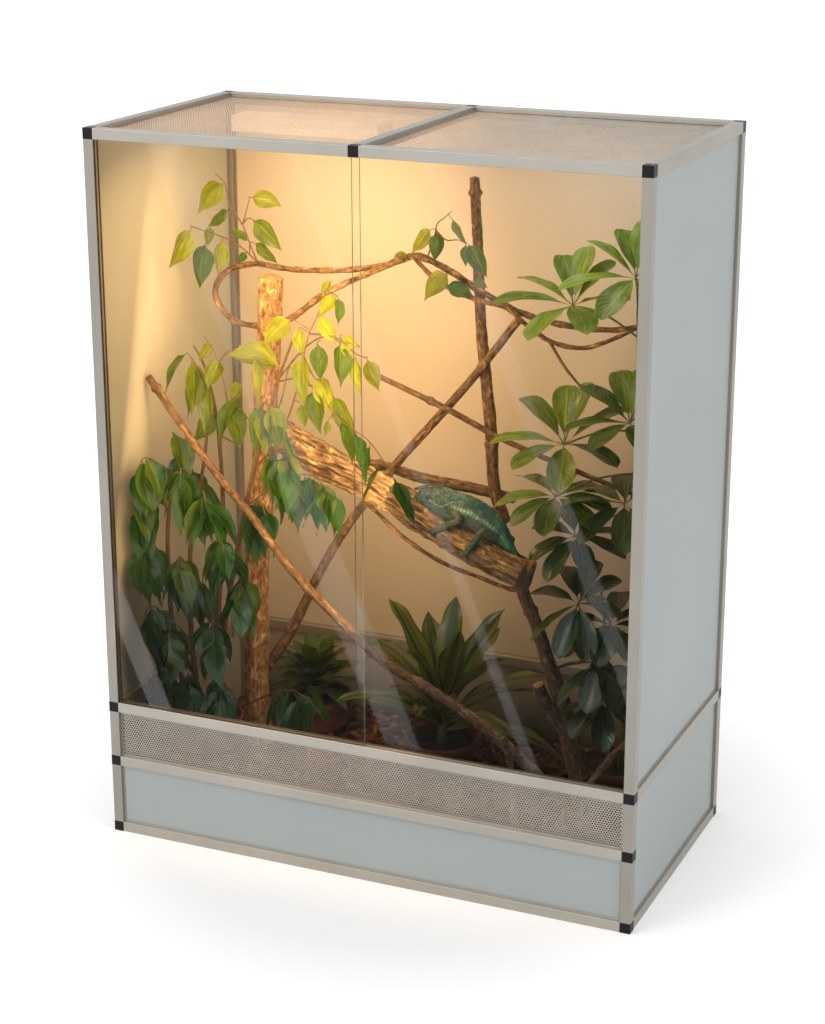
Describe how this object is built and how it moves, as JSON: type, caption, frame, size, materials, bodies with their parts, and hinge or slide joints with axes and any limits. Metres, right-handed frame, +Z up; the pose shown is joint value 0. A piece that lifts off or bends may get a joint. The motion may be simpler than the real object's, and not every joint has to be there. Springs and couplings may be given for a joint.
{
  "type": "reptile terrarium",
  "caption": "Tall plug-together aluminium terrarium with sliding glass doors, solid panels, perforated vents, heat lamp, bark floor, branches, potted plants and a climbing lizard.",
  "frame": {"origin": "middle of the base, on the surface that the cabinet stands on", "axes": "+X to the right seen from the doors, front towards -Y, +Z up"},
  "size_m": [1.06, 0.54, 1.372],
  "materials": {
    "frame_tube": "satin warm-grey anodised, soft highlights along the round edges",
    "connector": "near-black moulded plastic, slightly glossy",
    "panel": "smooth pale blue-grey outside, soft sheen",
    "perforated_sheet": "thin perforated sheet, 3 mm holes in staggered rows",
    "door_glass": "clear float glass with green-grey polished edges",
    "lamp_housing": "off-white stoved enamel",
    "lamp_diffuser": "warm opal sheet, lit from behind",
    "bark": "loose red-brown bark chips, rough and matt",
    "wood": "dry bark, rough, with paler peeled patches",
    "pot": "red-brown plastic, soft sheen on the rim",
    "soil": "dark crumbly potting soil",
    "plant_stem": "thin brown-green bark",
    "foliage": "glossy green leaves with paler veins and margins",
    "lizard_skin": "fine beaded scales in blue-green"
  },
  "bodies": {
    "cabinet": {"front_bottom_rail": "frame_tube", "back_bottom_rail": "frame_tube", "side_bottom_rails": "frame_tube", "front_vent_rail": "frame_tube", "door_sill_rail": "frame_tube", "side_middle_rails": "frame_tube", "back_middle_rail": "frame_tube", "front_top_rails": "frame_tube", "back_top_rails": "frame_tube", "side_top_rails": "frame_tube", "roof_crossbar": "frame_tube", "front_lower_posts": "frame_tube", "front_middle_posts": "frame_tube", "front_left_post": "frame_tube", "front_right_post": "frame_tube", "back_lower_posts": "frame_tube", "back_left_post": "frame_tube", "back_right_post": "frame_tube", "bottom_connectors": "connector", "vent_connectors": "connector", "middle_connectors": "connector", "top_connectors": "connector", "roof_tee_connectors": "connector", "left_panel_upper": "panel", "left_panel_lower": "panel", "right_panel_upper": "panel", "right_panel_lower": "panel", "back_panel_upper": "panel", "back_panel_lower": "panel", "front_panel": "panel", "floor_panel": "panel", "vent_strip": "perforated_sheet", "left_roof_sheet": "perforated_sheet", "right_roof_sheet": "perforated_sheet", "lamp_housing": "lamp_housing", "lamp_diffuser": "lamp_diffuser", "bark_bed": "bark", "upright_trunk": "wood", "forked_branch": "wood", "climbing_log": "wood", "diagonal_branch": "wood", "cross_branch": "wood", "upright_stick": "wood", "log_support": "wood", "slanting_stick": "wood", "vines": "wood", "short_sticks": "wood", "plant_pots": "pot", "potting_soil": "soil", "fig_stems": "plant_stem", "fig_leaves": "foliage", "striped_plant": "foliage", "umbrella_stems": "plant_stem", "umbrella_leaves": "foliage", "shade_plant": "foliage", "lizard": "lizard_skin"},
    "left_door": {"left_glass_door": "door_glass"},
    "right_door": {"right_glass_door": "door_glass"}
  },
  "joints": [
    {"name": "left_door_slide", "type": "slide", "parent": "cabinet", "child": "left_door", "axis": [1, 0, 0], "range_m": [0, 0.5]},
    {"name": "right_door_slide", "type": "slide", "parent": "cabinet", "child": "right_door", "axis": [-1, 0, 0], "range_m": [0, 0.5]}
  ]
}
